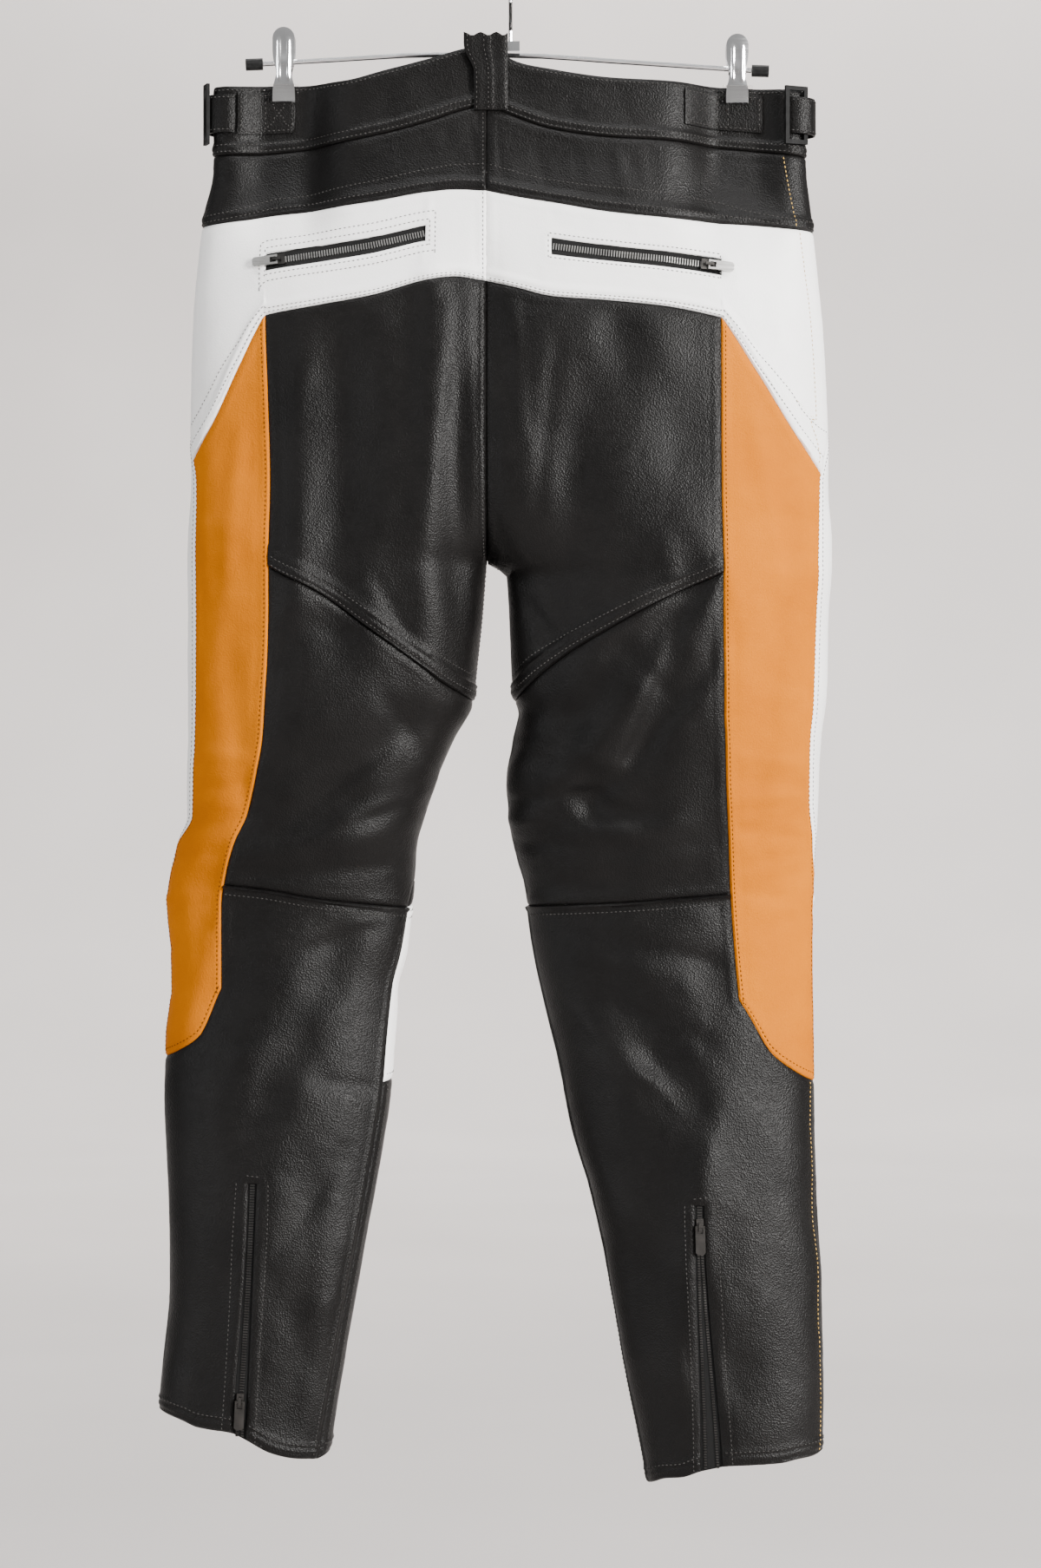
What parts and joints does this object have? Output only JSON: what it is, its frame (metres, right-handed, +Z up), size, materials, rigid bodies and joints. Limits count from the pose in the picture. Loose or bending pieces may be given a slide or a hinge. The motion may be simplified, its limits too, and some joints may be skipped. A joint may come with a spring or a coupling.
{
  "type": "leather motorcycle trousers and clip hanger",
  "caption": "Leather motorcycle trousers in black, white and orange panels, hung by the waist from a chrome clip hanger.",
  "frame": {"origin": "inner crown of the hanger's hook, where the rail carries it", "axes": "+Z up, the back of the trousers faces -Y, the wearer's right is +X"},
  "size_m": [0.5091, 0.1457, 1.1508],
  "materials": {
    "black_leather": "semi-gloss, fine grain",
    "white_leather": "semi-gloss, fine grain",
    "orange_leather": "semi-gloss, fine grain",
    "zip_tape": "woven tape",
    "zip_metal": "polished",
    "ring_plastic": "satin",
    "cap_rubber": "matt",
    "hanger_chrome": "polished",
    "stud_metal": "dark polished"
  },
  "bodies": {
    "root": {"adjuster_patch_left": "black_leather", "adjuster_patch_right": "black_leather", "adjuster_ring_left": "ring_plastic", "adjuster_ring_right": "ring_plastic", "adjuster_strap_left": "black_leather", "adjuster_strap_right": "black_leather", "ankle_zip_slider_left": "zip_metal", "ankle_zip_slider_right": "zip_metal", "ankle_zip_tape_left": "zip_tape", "ankle_zip_tape_right": "zip_tape", "belt_loop": "black_leather", "calf_back_left": "black_leather", "calf_back_right": "black_leather", "clip_jaw_back_left": "hanger_chrome", "clip_jaw_back_right": "hanger_chrome", "clip_jaw_front_left": "hanger_chrome", "clip_jaw_front_right": "hanger_chrome", "clip_sleeve_left": "hanger_chrome", "clip_sleeve_right": "hanger_chrome", "fly_placket": "black_leather", "hanger_hook": "hanger_chrome", "hanger_rod": "hanger_chrome", "hip_band_left": "white_leather", "hip_band_right": "white_leather", "hook_bracket": "hanger_chrome", "knee_front_left": "white_leather", "knee_front_right": "white_leather", "pocket_zip_slider_left": "zip_metal", "pocket_zip_slider_right": "zip_metal", "pocket_zip_tape_left": "zip_tape", "pocket_zip_tape_right": "zip_tape", "rod_cap_left": "cap_rubber", "rod_cap_right": "cap_rubber", "seat_panel_left": "black_leather", "seat_panel_right": "black_leather", "shin_front_left": "black_leather", "shin_front_right": "black_leather", "side_panel_left": "orange_leather", "side_panel_right": "orange_leather", "thigh_back_left": "black_leather", "thigh_back_right": "black_leather", "thigh_inner_front_left": "black_leather", "thigh_inner_front_right": "black_leather", "thigh_outer_front_left": "white_leather", "thigh_outer_front_right": "white_leather", "waist_stud": "stud_metal", "waistband_back_left": "black_leather", "waistband_back_right": "black_leather", "waistband_front_left": "black_leather", "waistband_front_right": "black_leather", "yoke_back_left": "black_leather", "yoke_back_right": "black_leather", "yoke_front_left": "black_leather", "yoke_front_right": "black_leather"},
    "pocket_zip_tab_left": {"pocket_zip_tab_left": "zip_metal"},
    "pocket_zip_tab_right": {"pocket_zip_tab_right": "zip_metal"},
    "ankle_zip_tab_left": {"ankle_zip_tab_left": "zip_metal"},
    "ankle_zip_tab_right": {"ankle_zip_tab_right": "zip_metal"}
  },
  "joints": [
    {"name": "pocket_zip_tab_left_hinge", "type": "hinge", "parent": "root", "child": "pocket_zip_tab_left", "pos_m": [-0.17535, -0.03852, -0.22152], "axis": [-0.0858, 0.2593, 0.962], "range_deg": [0, 110]},
    {"name": "pocket_zip_tab_right_hinge", "type": "hinge", "parent": "root", "child": "pocket_zip_tab_right", "pos_m": [0.15101, -0.04202, -0.22578], "axis": [-0.0821, -0.2156, -0.973], "range_deg": [0, 110]},
    {"name": "ankle_zip_tab_left_hinge", "type": "hinge", "parent": "root", "child": "ankle_zip_tab_left", "pos_m": [-0.20217, -0.05081, -1.08178], "axis": [-0.9983, 0.0341, 0.0479], "range_deg": [0, 110]},
    {"name": "ankle_zip_tab_right_hinge", "type": "hinge", "parent": "root", "child": "ankle_zip_tab_right", "pos_m": [0.14368, -0.04923, -0.95056], "axis": [-0.9997, -0.0155, -0.0194], "range_deg": [0, 110]}
  ]
}
